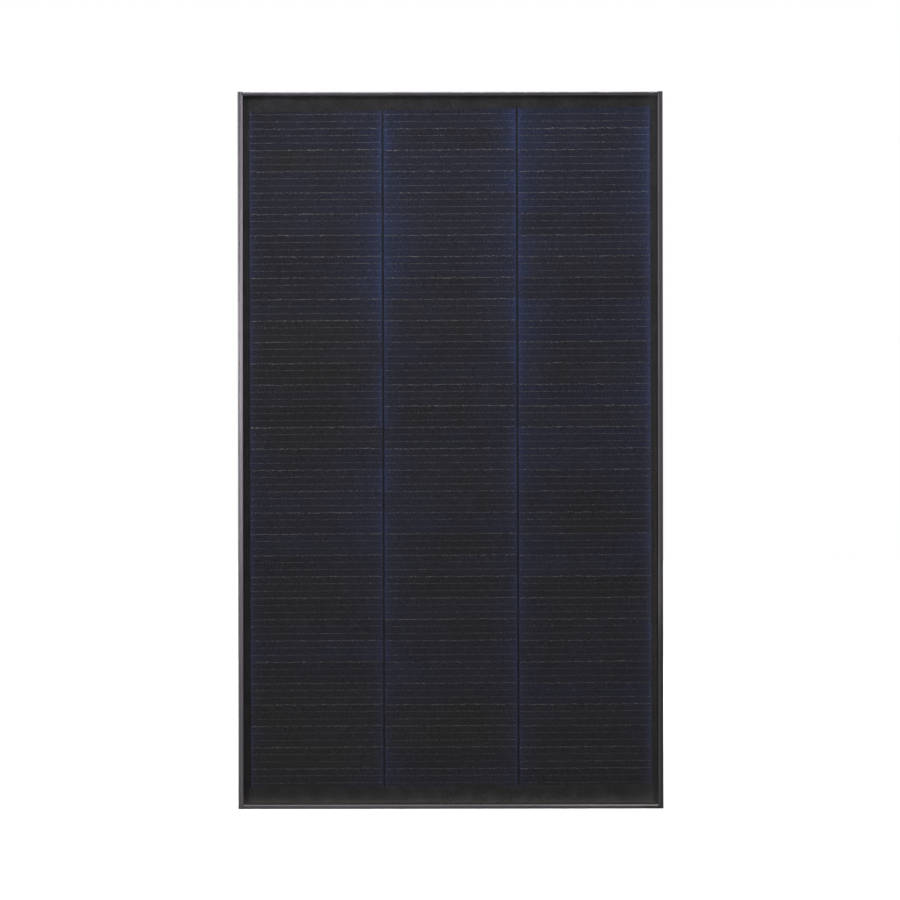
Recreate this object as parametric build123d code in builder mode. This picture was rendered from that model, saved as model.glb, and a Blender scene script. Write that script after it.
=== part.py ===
from build123d import *
import os
from math import atan2, cos, degrees, radians, sin

# Framed solar panel, upright: +X to the right seen from the front, +Z up, glass facing -Y.
# The back plane of the frame is y = 0, and the origin is the centre of the mounting holes.
# "Depth" below is the distance in front of the back plane, so y = -depth.

# ---- driving dimensions, mm ----
panel_width = 510.0
panel_height = 860.0
panel_depth = 30.0
half_width = panel_width / 2
half_height = panel_height / 2

# clearances and the reach of cutting shapes past a face
match_tolerance = 0.01
stack_gap = 0.02
slip = 0.05
easy_slip = 0.1
cut_past = 1.0

# rail extrusion, measured inwards from its outer face and forwards from its back face
rail_wall = 1.4
rail_lip = 6.0
end_lip = 4.2
lip_thickness = 1.6
lip_bevel = 1.3
rail_body = 9.0
rail_flange = 22.0
flange_thickness = 1.5
slot_back = 22.6
slot_front = panel_depth - lip_thickness
shelf_thickness = 1.2
edge_radius = 0.8
face_groove_inset = 2.3
face_groove_width = 0.5
face_groove_depth = 0.3
port_inset = 4.5
port_depths = (7.5, 16.0)
port_outer_radius = 3.3
port_bore_radius = 1.8
joint_gap = 0.1
end_rail_setback = 0.4
end_cut_width = 40.0
end_cut_height = 60.0

# holes in the side rails
mount_hole_radius = 3.5
mount_spacing_z = 500.0
ground_hole_radius = 2.1
flange_hole_inset = 15.5

# corner screws
screw_shank_radius = 1.7
screw_hole_radius = 2.1
screw_head_radius = 3.1
screw_sink_radius = 3.2
screw_sink_angle = 90.0
screw_length = 28.0
recess_length = 3.6
recess_width = 0.8
recess_depth = 1.0

# laminate, as depths of each layer
laminate_inset = 2.4
glass_front = 28.0
glass_back = 24.8
cell_zone_front = 24.35
backsheet_front = 23.4
backsheet_back = 23.0
seal_reach_front = 3.8
seal_reach_back = 8.2

# shingled cell strips
string_names = ("left", "middle", "right")
strip_count = 32
strip_width = 158.75
strip_height = strip_width / 6
strip_overlap = 0.84
strip_thickness = 0.18
glue_thickness = 0.04
glue_width = 0.6
glue_end_gap = 2.0
glue_lift = 0.002
strip_pitch = strip_height - strip_overlap
string_pitch = strip_width + 2.5
string_top = 412.3
string_bottom = string_top - strip_count * strip_pitch - strip_overlap
string_front = 24.27
strings_width = 2 * string_pitch + strip_width
string_lean = 0.08
strip_turn = 0.38
strip_tilt = degrees(atan2(strip_thickness + glue_thickness, strip_pitch))

# ribbons and cover tapes at the two ends of the strings; the tapes' inner edges are slightly askew
ribbon_thickness = 0.2
tab_thickness = 0.1
tab_overlap = 1.4
tab_bar_height = 3.0
tab_end_gap = 3.0
tab_finger_count = 6
tab_finger_width = 6.0
tab_top_back = 23.97
tab_bottom_back = 24.09
bus_width = 5.0
bus_top_z = 419.5
bus_bottom_z = -416.0
bus_top_back = 23.75
bus_bottom_back = 23.86
cover_thickness = 0.06
cover_overhang = 2.0
cover_outer_z = 423.5
cover_top_left_z = 405.5
cover_top_right_z = 412.4
cover_bottom_left_z = -405.6
cover_bottom_right_z = -401.4
cell_pocket_back = 23.82
cell_pocket_border = 3.0
bus_pocket_border = 0.5
lead_x = 12.5
lead_width = 5.0
lead_depth = 23.42
insulation_thickness = 0.1
insulation_width = 10.0
groove_width = 11.0
groove_end_gap = 0.5

# rating label, blank
label_width = 110.0
label_height = 64.0
label_thickness = 0.15
label_z = 215.0
label_corner_radius = 3.0

# junction box
box_width = 86.0
box_height = 66.0
box_centre_z = 330.0
box_wall = 2.0
box_pad_back = 22.0
box_pad_border = 1.5
box_floor_depth = 20.0
box_rim_depth = 6.0
lid_back_depth = 2.4
lid_front_depth = 5.0
box_corner_radius = 5.0
box_top_z = box_centre_z + box_height / 2
box_bottom_z = box_centre_z - box_height / 2
lead_slot_z = box_centre_z + 22.0
lead_slot_height = 4.0
lead_opening_width = 40.0
lead_opening_height = 8.0
lead_opening_border = 1.0
lead_slot_border = 1.0
hinge_z = box_top_z + 3.4
hinge_depth = 7.2
knuckle_radius = 2.7
hinge_pin_radius = 1.5
hinge_pin_clearance = 0.08
hinge_end_gap = 0.2
arm_root = 1.0
knuckle_start = 22.0
knuckle_end = 29.8
ear_start = 30.0
ear_end = 35.0
arm_back = 3.2
arm_front = 5.8
lid_gap = 0.1
lid_edge_radius = 1.0
rib_width = 78.0
rib_height = 58.0
rib_depth = 7.0
rib_wall = 1.5
rib_corner_radius = 2.5
gasket_thickness = 1.4
gasket_corner_radius = 3.0
lid_relief = 0.5
lid_panel_rise = 5.0
lid_rib_length = 62.0
lid_rib_width = 2.4
lid_rib_corner_radius = 1.14
lid_rib_pitch = 6.0
lid_rib_count = 7
polarity_size = 6.0
polarity_stroke = 1.4
polarity_drop = -23.0
finger_tab_width = 20.0
finger_tab_height = 6.0
finger_tab_thickness = 1.6
finger_tab_radius = 2.0

# terminals, clamps and diode inside the box
terminal_z = box_centre_z
terminal_width = 12.0
terminal_height = 22.0
terminal_back = 17.0
terminal_front = 18.2
terminal_seat_border = 1.0
lug_z = box_centre_z + 13.5
lug_height = 9.0
terminal_screw_radius = 1.9
terminal_screw_reach = 2.6
terminal_screw_room = 0.3
terminal_slot_width = 1.0
terminal_slot_depth = 1.2
terminal_head_edge_radius = 0.5
terminal_head_radius = 3.5
terminal_head_height = 2.4
clamp_thickness = 1.0
clamp_size = 9.0
clamp_corner_radius = 1.0
ear_thickness = 1.2
ear_width = 6.0
ear_above_lead = 3.0
diode_z = box_centre_z - 6.0
diode_depth = 12.5
diode_length = 9.5
diode_radius = 2.6
diode_edge_radius = 0.6
diode_lead_tail = 1.5
diode_lead_radius = 0.65

# cable glands on the bottom wall of the junction box
gland_x = 22.0
gland_depth = 13.0
gland_hole_radius = 5.0
gland_thread_radius = 4.9
gland_passage_radius = 3.6
gland_barrel_radius = 5.6
gland_collar_radius = 4.5
gland_flange_height = 4.0
gland_barrel_length = 10.0
gland_turn = 0.0
gland_thread_end = 0.5
gland_collar_stop = 1.0
nut_length = 16.0
nut_across_flats = 14.0
nut_end_wall = 2.0
nut_chamfer = 1.2
nut_gap = 0.5
locknut_height = 3.0
locknut_across_flats = 12.0
seal_standout = 2.5
seal_end_gap = 1.2
cable_radius = 3.0

os.makedirs("parts", exist_ok=True)


def save(part, label):
    """Name a finished piece and write it to its own file."""
    part.label = label
    export_step(part, f"parts/{label}.step")


def front_plane(depth, x=0.0, z=0.0):
    """A plane parallel to the glass, its normal towards the viewer in front."""
    return Plane(origin=(x, -depth, z), x_dir=(1, 0, 0), z_dir=(0, -1, 0))


# ---- frame: four rails of one extruded section ----
def make_rail(end_plane, length, lip):
    """A length of the rail section; the end plane's x runs inwards and its y forwards."""
    with BuildPart() as rail:
        with BuildSketch(end_plane):
            with BuildLine():
                Polyline(
                    (0, 0),
                    (rail_flange, 0),
                    (rail_flange, flange_thickness),
                    (rail_body, flange_thickness),
                    (rail_body, slot_back),
                    (rail_wall, slot_back),
                    (rail_wall, slot_front),
                    (lip, slot_front),
                    (lip, panel_depth - lip_bevel),
                    (lip - lip_bevel, panel_depth),
                    (face_groove_inset + face_groove_width / 2, panel_depth),
                    (face_groove_inset, panel_depth - face_groove_depth),
                    (face_groove_inset - face_groove_width / 2, panel_depth),
                    (0, panel_depth),
                    close=True,
                )
            make_face()
            chamber_width = rail_body - 2 * rail_wall
            chamber_height = slot_back - shelf_thickness - flange_thickness
            with Locations((rail_body / 2, flange_thickness + chamber_height / 2)):
                Rectangle(chamber_width, chamber_height, mode=Mode.SUBTRACT)
            with Locations(*[(port_inset, depth) for depth in port_depths]):
                Circle(port_outer_radius)
                Circle(port_bore_radius, mode=Mode.SUBTRACT)
        extrude(amount=length)
        corner_edges = rail.edges().filter_by(lambda edge: edge.length > length - cut_past)
        outer_edges = corner_edges.filter_by(lambda edge: on_outer_corner(end_plane, edge))
        fillet(outer_edges, edge_radius)
    return rail.part


def on_outer_corner(end_plane, edge):
    """True for the two long edges at the rail's outer face."""
    spot = end_plane.to_local_coords(edge.center())
    at_back = abs(spot.Y) < match_tolerance
    at_front = abs(spot.Y - panel_depth) < match_tolerance
    return abs(spot.X) < match_tolerance and (at_back or at_front)


left_end = Plane(origin=(-half_width, 0, half_height), x_dir=(1, 0, 0), z_dir=(0, 0, -1))
right_end = Plane(origin=(half_width, 0, -half_height), x_dir=(-1, 0, 0), z_dir=(0, 0, 1))


def make_side_rail(end_plane, side):
    """A full-height rail with its flange holes and the clearance holes for the corner screws."""
    blank = make_rail(end_plane, panel_height, rail_lip)
    flange_x = side * (half_width - flange_hole_inset)
    with BuildPart() as rail:
        add(blank)
        with BuildSketch(Plane.XZ):
            with Locations((flange_x, mount_spacing_z / 2), (flange_x, -mount_spacing_z / 2)):
                Circle(mount_hole_radius)
            with Locations((flange_x, 0)):
                Circle(ground_hole_radius)
        extrude(amount=flange_thickness + cut_past, both=True, mode=Mode.SUBTRACT)
        outer_face = Plane(origin=(side * half_width, 0, 0), x_dir=(0, 0, 1), z_dir=(side, 0, 0))
        port_z = half_height - end_rail_setback - port_inset
        spots = [(z, side * port_depth) for z in (port_z, -port_z) for port_depth in port_depths]
        with Locations(outer_face):
            with Locations(*spots):
                depth = rail_body + cut_past
                CounterSinkHole(screw_hole_radius, screw_sink_radius, depth, screw_sink_angle)
    return rail.part


def make_end_rail(end):
    """A rail that fits between the side rails, its ends cut back to their section."""
    lip_end = half_width - rail_lip
    tongue_end = half_width - rail_wall - joint_gap
    body_end = half_width - rail_body
    flange_end = half_width - rail_flange - joint_gap
    outer_z = end * (half_height - end_rail_setback)
    end_plane = Plane(origin=(end * tongue_end, 0, outer_z), x_dir=(0, 0, -end), z_dir=(-end, 0, 0))
    blank = make_rail(end_plane, 2 * tongue_end, end_lip)
    cuts = (
        (lip_end, slot_front - joint_gap, panel_depth + cut_past),
        (body_end, -cut_past, slot_back + joint_gap),
        (flange_end, -cut_past, flange_thickness + joint_gap),
    )
    with BuildPart() as rail:
        add(blank)
        for reach, back, front in cuts:
            for side in (-1, 1):
                with BuildSketch(front_plane(back, side * (reach + end_cut_width / 2), end * half_height)):
                    Rectangle(end_cut_width, end_cut_height)
                extrude(amount=front - back, mode=Mode.SUBTRACT)
    return rail.part


save(make_side_rail(left_end, -1), "left_rail")
save(make_side_rail(right_end, 1), "right_rail")
save(make_end_rail(1), "top_rail")
save(make_end_rail(-1), "bottom_rail")


# ---- corner screws, driven through the side rails into the end rails' ports ----
def make_corner_screws(side, end):
    """The two countersunk screws of one corner."""
    outer_face = Plane(origin=(side * half_width, 0, 0), x_dir=(0, 0, 1), z_dir=(side, 0, 0))
    screw_z = end * (half_height - end_rail_setback - port_inset)
    with BuildPart() as screws:
        for depth in port_depths:
            centre = (screw_z, side * depth)
            head_drop = screw_head_radius - screw_shank_radius
            with BuildSketch(outer_face.offset(-screw_length)):
                with Locations(centre):
                    Circle(screw_shank_radius)
            extrude(amount=screw_length - head_drop)
            with BuildSketch(outer_face.offset(-head_drop)):
                with Locations(centre):
                    Circle(screw_shank_radius)
            with BuildSketch(outer_face):
                with Locations(centre):
                    Circle(screw_head_radius)
            loft()
            with BuildSketch(outer_face):
                with Locations(centre):
                    Rectangle(recess_length, recess_width)
                    Rectangle(recess_width, recess_length)
            extrude(amount=-recess_depth, mode=Mode.SUBTRACT)
    return screws.part


for end_name, end in (("top", 1), ("bottom", -1)):
    for side_name, side in (("left", -1), ("right", 1)):
        save(make_corner_screws(side, end), f"corner_screws_{end_name}_{side_name}")


# ---- laminate ----
def make_slab(back, front, inset):
    """A full-size sheet between two depths, inset from the frame's outer faces."""
    with BuildPart() as slab:
        with BuildSketch(front_plane(back)):
            Rectangle(panel_width - 2 * inset, panel_height - 2 * inset)
        extrude(amount=front - back)
    return slab.part


with BuildPart() as edge_sealant:
    with BuildSketch(front_plane(slot_back)):
        Rectangle(panel_width - 2 * rail_wall, panel_height - 2 * (rail_wall + end_rail_setback))
    extrude(amount=slot_front - slot_back)
    with BuildSketch(front_plane(backsheet_back)):
        Rectangle(panel_width - 2 * laminate_inset, panel_height - 2 * laminate_inset)
    extrude(amount=glass_front - backsheet_back, mode=Mode.SUBTRACT)
    with BuildSketch(front_plane(slot_back)):
        Rectangle(panel_width - 2 * seal_reach_back, panel_height - 2 * seal_reach_back)
    extrude(amount=backsheet_back - slot_back, mode=Mode.SUBTRACT)
    with BuildSketch(front_plane(glass_front)):
        Rectangle(panel_width - 2 * seal_reach_front, panel_height - 2 * seal_reach_front)
    extrude(amount=slot_front - glass_front, mode=Mode.SUBTRACT)
save(edge_sealant.part, "edge_sealant")

save(make_slab(glass_back, glass_front, laminate_inset), "front_glass")
save(make_slab(cell_zone_front, glass_back, laminate_inset), "front_film")


# ---- cell strings: each strip's top edge lies in front of the strip above it ----
def turned_plane(origin, turn_deg):
    """A plane parallel to the glass, turned slightly in it."""
    turn = radians(turn_deg)
    return Plane(origin=origin, x_dir=(cos(turn), 0, sin(turn)), z_dir=(0, -1, 0))


def lay_up_plane(depth):
    """The plane in which the strings stand, leaning slightly to one side."""
    return turned_plane((0, -depth, 0), string_lean)


def strip_plane(string_x, top_z, depth):
    """A plane at the middle of a strip's top edge, leaning back towards the strip's bottom edge."""
    corner = lay_up_plane(depth).from_local_coords(Vector(string_x, top_z, 0))
    return turned_plane(corner, strip_turn).rotated((strip_tilt, 0, 0))


def make_string(string_x):
    """All the cell strips of one string."""
    with BuildPart() as string:
        for row in range(strip_count):
            top_z = string_top - row * strip_pitch
            with BuildSketch(strip_plane(string_x, top_z, string_front)):
                with Locations((0, -strip_height / 2)):
                    Rectangle(strip_width, strip_height)
            extrude(amount=-strip_thickness)
    return string.part


def make_glue(string_x):
    """The lines of conductive adhesive between one strip and the next."""
    with BuildPart() as glue:
        for row in range(1, strip_count):
            top_z = string_top - row * strip_pitch
            strip_face = strip_plane(string_x, top_z, string_front)
            with BuildSketch(strip_face.offset(-strip_thickness - glue_lift)):
                with Locations((0, -strip_overlap / 2)):
                    Rectangle(strip_width - 2 * glue_end_gap, glue_width)
            extrude(amount=-(glue_thickness - 2 * glue_lift))
    return glue.part


for name, column in zip(string_names, (-1, 0, 1)):
    save(make_string(column * string_pitch), f"cell_string_{name}")
    save(make_glue(column * string_pitch), f"cell_adhesive_{name}")


# ---- ribbons at the ends of the strings ----
def make_bus(z, back):
    """A flat bus ribbon across the panel."""
    with BuildPart() as bus:
        with BuildSketch(front_plane(back, 0, z)):
            Rectangle(strings_width, bus_width)
        extrude(amount=ribbon_thickness)
    return bus.part


def make_tabs(edge_z, bus_z, back):
    """Three comb-shaped tabs: a solder strip along the cells with fingers that reach the bus."""
    toward_bus = 1 if bus_z > edge_z else -1
    start_z = edge_z - toward_bus * tab_overlap
    with BuildPart() as tabs:
        with BuildSketch(lay_up_plane(back)):
            for column in (-1, 0, 1):
                x = column * string_pitch
                with Locations((x, start_z + toward_bus * tab_bar_height / 2)):
                    Rectangle(strip_width - 2 * tab_end_gap, tab_bar_height)
                with Locations((x, (start_z + bus_z) / 2)):
                    with GridLocations(strip_width / tab_finger_count, 1, tab_finger_count, 1):
                        Rectangle(tab_finger_width, abs(bus_z - start_z))
        extrude(amount=tab_thickness)
    return tabs.part


def make_cover(outer_z, left_z, right_z):
    """The black tape that hides a bus ribbon and its tabs from the front."""
    back = cell_zone_front - cover_thickness - match_tolerance
    reach = strings_width / 2 + cover_overhang
    with BuildPart() as cover:
        with BuildSketch(front_plane(back)):
            with BuildLine():
                Polyline(
                    (-reach, outer_z),
                    (reach, outer_z),
                    (reach, right_z),
                    (-reach, left_z),
                    close=True,
                )
            make_face()
        extrude(amount=cover_thickness)
    return cover.part


def side_rectangle(low_depth, high_depth, low_z, high_z):
    """In a sketch on Plane.YZ, a rectangle between two depths and two heights."""
    with Locations((-(low_depth + high_depth) / 2, (low_z + high_z) / 2)):
        Rectangle(high_depth - low_depth, high_z - low_z)


def make_lead(side, bus_z, bus_back):
    """A flat ribbon from a bus, behind the cells, through the backsheet and onto its terminal."""
    lead_front = lead_depth + ribbon_thickness
    tail_depth = terminal_back - ribbon_thickness
    bus_low = bus_z - bus_width / 2
    bus_high = bus_z + bus_width / 2
    with BuildPart() as lead:
        with BuildSketch(Plane.YZ.offset(side * lead_x)):
            side_rectangle(lead_depth, lead_front, min(lead_slot_z, bus_low), max(lead_slot_z, bus_high))
            side_rectangle(lead_front, bus_back, bus_low, bus_high)
            side_rectangle(tail_depth, lead_front, lead_slot_z, lead_slot_z + ribbon_thickness)
            side_rectangle(tail_depth, terminal_back, lug_z, lead_slot_z + ribbon_thickness)
        extrude(amount=lead_width / 2, both=True)
    return lead.part


save(make_bus(bus_top_z, bus_top_back), "top_bus_ribbon")
save(make_bus(bus_bottom_z, bus_bottom_back), "bottom_bus_ribbon")
save(make_tabs(string_top, bus_top_z, tab_top_back), "top_string_tabs")
save(make_tabs(string_bottom, bus_bottom_z, tab_bottom_back), "bottom_string_tabs")
save(make_cover(cover_outer_z, cover_top_left_z, cover_top_right_z), "top_cover_strip")
save(make_cover(-cover_outer_z, cover_bottom_left_z, cover_bottom_right_z), "bottom_cover_strip")
save(make_lead(1, bus_top_z, bus_top_back), "positive_lead")
save(make_lead(-1, bus_bottom_z, bus_bottom_back), "negative_lead")

with BuildPart() as lead_insulation:
    with BuildSketch(front_plane(lead_depth + ribbon_thickness + stack_gap)):
        low_z = bus_bottom_z + bus_width
        high_z = bus_top_z - bus_width
        with Locations((-lead_x, (low_z + lead_slot_z) / 2)):
            Rectangle(insulation_width, lead_slot_z - low_z)
        with Locations((lead_x, (high_z + lead_slot_z) / 2)):
            Rectangle(insulation_width, high_z - lead_slot_z)
    extrude(amount=insulation_thickness)
save(lead_insulation.part, "lead_insulation")


def draw_lead_slots():
    """In a sketch centred on the lead slots, the two openings that the leads pass through."""
    with Locations((-lead_x, 0), (lead_x, 0)):
        Rectangle(lead_width + 2 * lead_slot_border, lead_slot_height)


with BuildPart() as rear_film:
    add(make_slab(backsheet_front, cell_zone_front, laminate_inset))
    pocket_width = strings_width + 2 * cell_pocket_border
    with BuildSketch(front_plane(cell_pocket_back)):
        Rectangle(pocket_width, 2 * (cover_outer_z + bus_pocket_border))
    extrude(amount=cell_zone_front - cell_pocket_back, mode=Mode.SUBTRACT)
    with BuildSketch(front_plane(bus_top_back - slip, 0, bus_top_z)):
        Rectangle(strings_width + 2 * bus_pocket_border, bus_width + 2 * bus_pocket_border)
    extrude(amount=cell_pocket_back - bus_top_back + slip, mode=Mode.SUBTRACT)
    with BuildSketch(front_plane(backsheet_front)):
        groove_low = bus_bottom_z - bus_width / 2 - groove_end_gap
        groove_high = lead_slot_z + lead_slot_height / 2
        with Locations((-lead_x, (groove_low + groove_high) / 2)):
            Rectangle(groove_width, groove_high - groove_low)
        top_groove_low = lead_slot_z - lead_slot_height / 2
        top_groove_high = bus_top_z + bus_width / 2 + groove_end_gap
        with Locations((lead_x, (top_groove_low + top_groove_high) / 2)):
            Rectangle(groove_width, top_groove_high - top_groove_low)
    extrude(amount=cell_pocket_back - backsheet_front, mode=Mode.SUBTRACT)
save(rear_film.part, "rear_film")

with BuildPart() as backsheet:
    add(make_slab(backsheet_back, backsheet_front, laminate_inset))
    with BuildSketch(front_plane(backsheet_back, 0, lead_slot_z)):
        draw_lead_slots()
    extrude(amount=backsheet_front - backsheet_back, mode=Mode.SUBTRACT)
save(backsheet.part, "backsheet")

with BuildPart() as rating_label:
    with BuildSketch(front_plane(backsheet_back - label_thickness, 0, label_z)):
        RectangleRounded(label_width, label_height, label_corner_radius)
    extrude(amount=label_thickness)
save(rating_label.part, "rating_label")


# ---- junction box ----
def draw_box_outline(inset=0.0, mode=Mode.ADD):
    """In a sketch at the box's centre, its rounded outline moved inwards."""
    RectangleRounded(box_width - 2 * inset, box_height - 2 * inset, box_corner_radius - inset, mode=mode)


with BuildPart() as box_pad:
    with BuildSketch(front_plane(box_pad_back, 0, box_centre_z)):
        draw_box_outline(-box_pad_border)
        with Locations((0, lead_slot_z - box_centre_z)):
            pad_opening_width = lead_opening_width + 2 * lead_opening_border
            pad_opening_height = lead_opening_height + 2 * lead_opening_border
            Rectangle(pad_opening_width, pad_opening_height, mode=Mode.SUBTRACT)
    extrude(amount=backsheet_back - box_pad_back)
save(box_pad.part, "junction_box_pad")

with BuildPart() as box_base:
    with BuildSketch(front_plane(box_rim_depth, 0, box_centre_z)):
        draw_box_outline()
    extrude(amount=box_pad_back - box_rim_depth)
    with BuildSketch(front_plane(box_rim_depth, 0, box_centre_z)):
        draw_box_outline(box_wall)
    extrude(amount=box_floor_depth - box_rim_depth, mode=Mode.SUBTRACT)
    # seats that the terminals stand on
    with BuildSketch(front_plane(terminal_front, 0, terminal_z)):
        with Locations((-gland_x, 0), (gland_x, 0)):
            Rectangle(terminal_width + 2 * terminal_seat_border, terminal_height + 2 * terminal_seat_border)
    extrude(amount=box_floor_depth - terminal_front)
    # hinge ears on the top wall
    for side in (-1, 1):
        with BuildSketch(Plane.YZ.offset(side * (ear_start + ear_end) / 2)):
            ear_back = box_rim_depth + hinge_end_gap
            side_rectangle(ear_back, hinge_depth + knuckle_radius, box_top_z - box_wall / 2, hinge_z)
            with Locations((-hinge_depth, hinge_z)):
                Circle(knuckle_radius)
                Circle(hinge_pin_radius + hinge_pin_clearance, mode=Mode.SUBTRACT)
        extrude(amount=(ear_end - ear_start) / 2, both=True)
    # opening for the leads, terminal screw holes and gland holes
    with BuildSketch(front_plane(box_floor_depth, 0, lead_slot_z)):
        Rectangle(lead_opening_width, lead_opening_height)
    extrude(amount=box_pad_back - box_floor_depth, mode=Mode.SUBTRACT)
    with BuildSketch(front_plane(terminal_front, 0, terminal_z)):
        with Locations((-gland_x, 0), (gland_x, 0)):
            Circle(terminal_screw_radius + slip)
    extrude(amount=terminal_screw_reach + terminal_screw_room, mode=Mode.SUBTRACT)
    with BuildSketch(Plane.XY.offset(box_bottom_z)):
        with Locations((-gland_x, -gland_depth), (gland_x, -gland_depth)):
            Circle(gland_hole_radius)
    extrude(amount=box_wall, mode=Mode.SUBTRACT)
save(box_base.part, "junction_box_base")

with BuildPart() as box_lid:
    with BuildSketch(front_plane(lid_back_depth, 0, box_centre_z)):
        draw_box_outline()
    extrude(amount=lid_front_depth - lid_back_depth)
    fillet(box_lid.faces().sort_by(Axis.Y)[-1].edges(), lid_edge_radius)
    # raised panel with cooling ribs, and the polarity marks above the glands
    with BuildSketch(front_plane(lid_back_depth, 0, box_centre_z)):
        with Locations((0, lid_panel_rise)):
            with GridLocations(1, lid_rib_pitch, 1, lid_rib_count):
                RectangleRounded(lid_rib_length, lid_rib_width, lid_rib_corner_radius)
        with Locations((-gland_x, polarity_drop), (gland_x, polarity_drop)):
            Rectangle(polarity_size, polarity_stroke)
        with Locations((gland_x, polarity_drop)):
            Rectangle(polarity_stroke, polarity_size)
    extrude(amount=-lid_relief)
    # skirt that closes onto the rim, and the rib that carries the gasket
    with BuildSketch(front_plane(lid_front_depth, 0, box_centre_z)):
        draw_box_outline()
        draw_box_outline(box_wall, Mode.SUBTRACT)
    extrude(amount=box_rim_depth - lid_front_depth - lid_gap)
    with BuildSketch(front_plane(lid_front_depth, 0, box_centre_z)):
        RectangleRounded(rib_width, rib_height, rib_corner_radius)
        inner_width = rib_width - 2 * rib_wall
        inner_height = rib_height - 2 * rib_wall
        RectangleRounded(inner_width, inner_height, rib_corner_radius - rib_wall, mode=Mode.SUBTRACT)
    extrude(amount=rib_depth - lid_front_depth)
    # finger tab at the free edge
    with BuildSketch(front_plane(lid_front_depth - finger_tab_thickness, 0, box_bottom_z)):
        RectangleRounded(finger_tab_width, finger_tab_height, finger_tab_radius)
    extrude(amount=finger_tab_thickness)
    # arms, knuckles and stub pins of the hinge
    for side in (-1, 1):
        with BuildSketch(Plane.YZ.offset(side * (knuckle_start + knuckle_end) / 2)):
            side_rectangle(arm_back, arm_front, box_top_z - arm_root, hinge_z)
            with Locations((-hinge_depth, hinge_z)):
                Circle(knuckle_radius)
        extrude(amount=(knuckle_end - knuckle_start) / 2, both=True)
        with BuildSketch(Plane.YZ.offset(side * knuckle_end)):
            with Locations((-hinge_depth, hinge_z)):
                Circle(hinge_pin_radius)
        extrude(amount=side * (ear_end - knuckle_end - hinge_end_gap))
save(box_lid.part, "junction_box_lid")

with BuildPart() as lid_gasket:
    with BuildSketch(front_plane(lid_front_depth, 0, box_centre_z)):
        gasket_width = rib_width + 2 * gasket_thickness
        gasket_height = rib_height + 2 * gasket_thickness
        RectangleRounded(gasket_width, gasket_height, gasket_corner_radius)
        RectangleRounded(rib_width, rib_height, rib_corner_radius, mode=Mode.SUBTRACT)
    extrude(amount=rib_depth - lid_front_depth)
save(lid_gasket.part, "lid_gasket")


def make_terminal(side):
    """A stamped terminal: a plate on its seat, a lug for the lead and an ear for the diode."""
    x = side * gland_x
    inner_x = side * (gland_x - terminal_width / 2)
    with BuildPart() as terminal:
        with BuildSketch(front_plane(terminal_back, x, terminal_z)):
            Rectangle(terminal_width, terminal_height)
            with Locations((-side * (gland_x - lead_x) / 2, lug_z - terminal_z)):
                Rectangle(gland_x - lead_x + lead_width, lug_height)
            Circle(terminal_screw_radius + easy_slip, mode=Mode.SUBTRACT)
        extrude(amount=terminal_front - terminal_back)
        ear_front = diode_depth - ear_above_lead
        with BuildSketch(front_plane(ear_front, inner_x + side * ear_thickness / 2, diode_z)):
            Rectangle(ear_thickness, ear_width)
        extrude(amount=terminal_front - ear_front)
        with BuildSketch(Plane.YZ.offset(inner_x)):
            with Locations((-diode_depth, diode_z)):
                Circle(diode_lead_radius + slip)
        extrude(amount=side * (ear_thickness + cut_past), mode=Mode.SUBTRACT)
    return terminal.part


save(make_terminal(1), "positive_terminal")
save(make_terminal(-1), "negative_terminal")

with BuildPart() as cable_clamps:
    with BuildSketch(front_plane(terminal_back - clamp_thickness, 0, terminal_z)):
        with Locations((-gland_x, 0), (gland_x, 0)):
            RectangleRounded(clamp_size, clamp_size, clamp_corner_radius)
            Circle(terminal_screw_radius + easy_slip, mode=Mode.SUBTRACT)
    extrude(amount=clamp_thickness)
save(cable_clamps.part, "cable_clamps")

with BuildPart() as terminal_screws:
    head_front = terminal_back - clamp_thickness
    head_back = head_front - terminal_head_height
    with BuildSketch(front_plane(head_back, 0, terminal_z)):
        with Locations((-gland_x, 0), (gland_x, 0)):
            Circle(terminal_head_radius)
    extrude(amount=terminal_head_height)
    fillet(terminal_screws.faces().group_by(Axis.Y)[-1].edges(), terminal_head_edge_radius)
    with BuildSketch(front_plane(head_front, 0, terminal_z)):
        with Locations((-gland_x, 0), (gland_x, 0)):
            Circle(terminal_screw_radius)
    extrude(amount=terminal_front + terminal_screw_reach - head_front)
    with BuildSketch(front_plane(head_back, 0, terminal_z)):
        with Locations((-gland_x, 0), (gland_x, 0)):
            Rectangle(2 * terminal_head_radius, terminal_slot_width)
    extrude(amount=terminal_slot_depth, mode=Mode.SUBTRACT)
save(terminal_screws.part, "terminal_screws")

with BuildPart() as bypass_diode:
    with BuildSketch(Plane.YZ.offset(-diode_length / 2)):
        with Locations((-diode_depth, diode_z)):
            Circle(diode_radius)
    extrude(amount=diode_length)
    fillet(bypass_diode.edges().filter_by(GeomType.CIRCLE), diode_edge_radius)
save(bypass_diode.part, "bypass_diode")

with BuildPart() as diode_leads:
    lead_end_x = gland_x - terminal_width / 2 + ear_thickness + diode_lead_tail
    for side in (-1, 1):
        with BuildSketch(Plane.YZ.offset(side * diode_length / 2)):
            with Locations((-diode_depth, diode_z)):
                Circle(diode_lead_radius)
        extrude(amount=side * (lead_end_x - diode_length / 2))
save(diode_leads.part, "diode_leads")


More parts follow.
